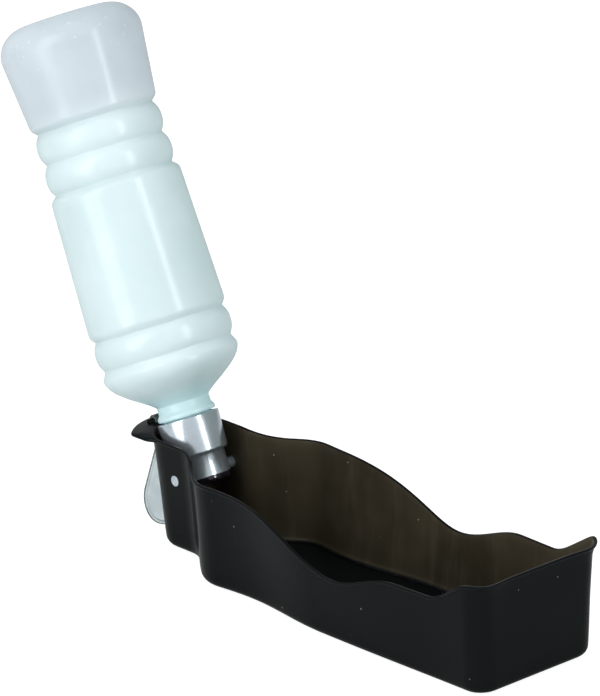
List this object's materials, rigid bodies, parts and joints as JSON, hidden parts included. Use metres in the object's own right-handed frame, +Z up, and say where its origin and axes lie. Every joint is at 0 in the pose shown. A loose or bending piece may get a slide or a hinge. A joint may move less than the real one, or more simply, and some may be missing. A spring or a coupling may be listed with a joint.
{
  "type": "pet travel drinker",
  "caption": "Squeeze bottle that swings on its cap in a long drinking trough: leans back over the throat to pour, folds down into the trough, hangs on a clip",
  "frame": {"origin": "on the resting plane, straight below the fold axis, on the plane of symmetry", "axes": "+X along the trough to its wide end, +Y across to its left side, +Z up; the bottle leans back towards -X"},
  "size_m": [0.3493, 0.0808, 0.2543],
  "materials": {
    "trough_black": "moulded, near-black, slight sheen",
    "clear_plastic": "clear moulded plastic",
    "cap_silver": "silver-coloured plastic",
    "silicone": "soft black silicone",
    "ring_black": "glossy black",
    "washer_rubber": "soft white rubber",
    "bottle_aqua": "milky translucent, pale aqua"
  },
  "bodies": {
    "trough": {"trough": "trough_black"},
    "clip": {"belt_clip": "clear_plastic"},
    "cap": {"cap": "cap_silver", "valve_ring": "ring_black", "outlet_valve": "silicone"},
    "washer": {"cap_washer": "washer_rubber"},
    "bottle": {"bottle": "bottle_aqua"}
  },
  "joints": [
    {"name": "fold", "type": "hinge", "parent": "trough", "child": "cap", "pos_m": [0, 0, 0.0373], "axis": [0, 1, 0], "range_deg": [0, 113]},
    {"name": "neck_travel", "type": "slide", "parent": "cap", "child": "washer", "axis": [-0.3907, 0, 0.9205], "range_m": [0, 0.0025]},
    {"name": "neck_turn", "type": "hinge", "parent": "washer", "child": "bottle", "pos_m": [-0.00782, 0, 0.05571], "axis": [-0.3907, 0, 0.9205], "range_deg": [0, 360]},
    {"name": "clip_flex", "type": "hinge", "parent": "trough", "child": "clip", "pos_m": [-0.0312, 0, 0.0562], "axis": [0, 1, 0], "range_deg": [0, 5], "stiffness_Nm_per_rad": 0.6}
  ],
  "couplings": [
    {"joint": "neck_turn", "follows": "neck_travel", "rad_per_m": 2513.3}
  ]
}
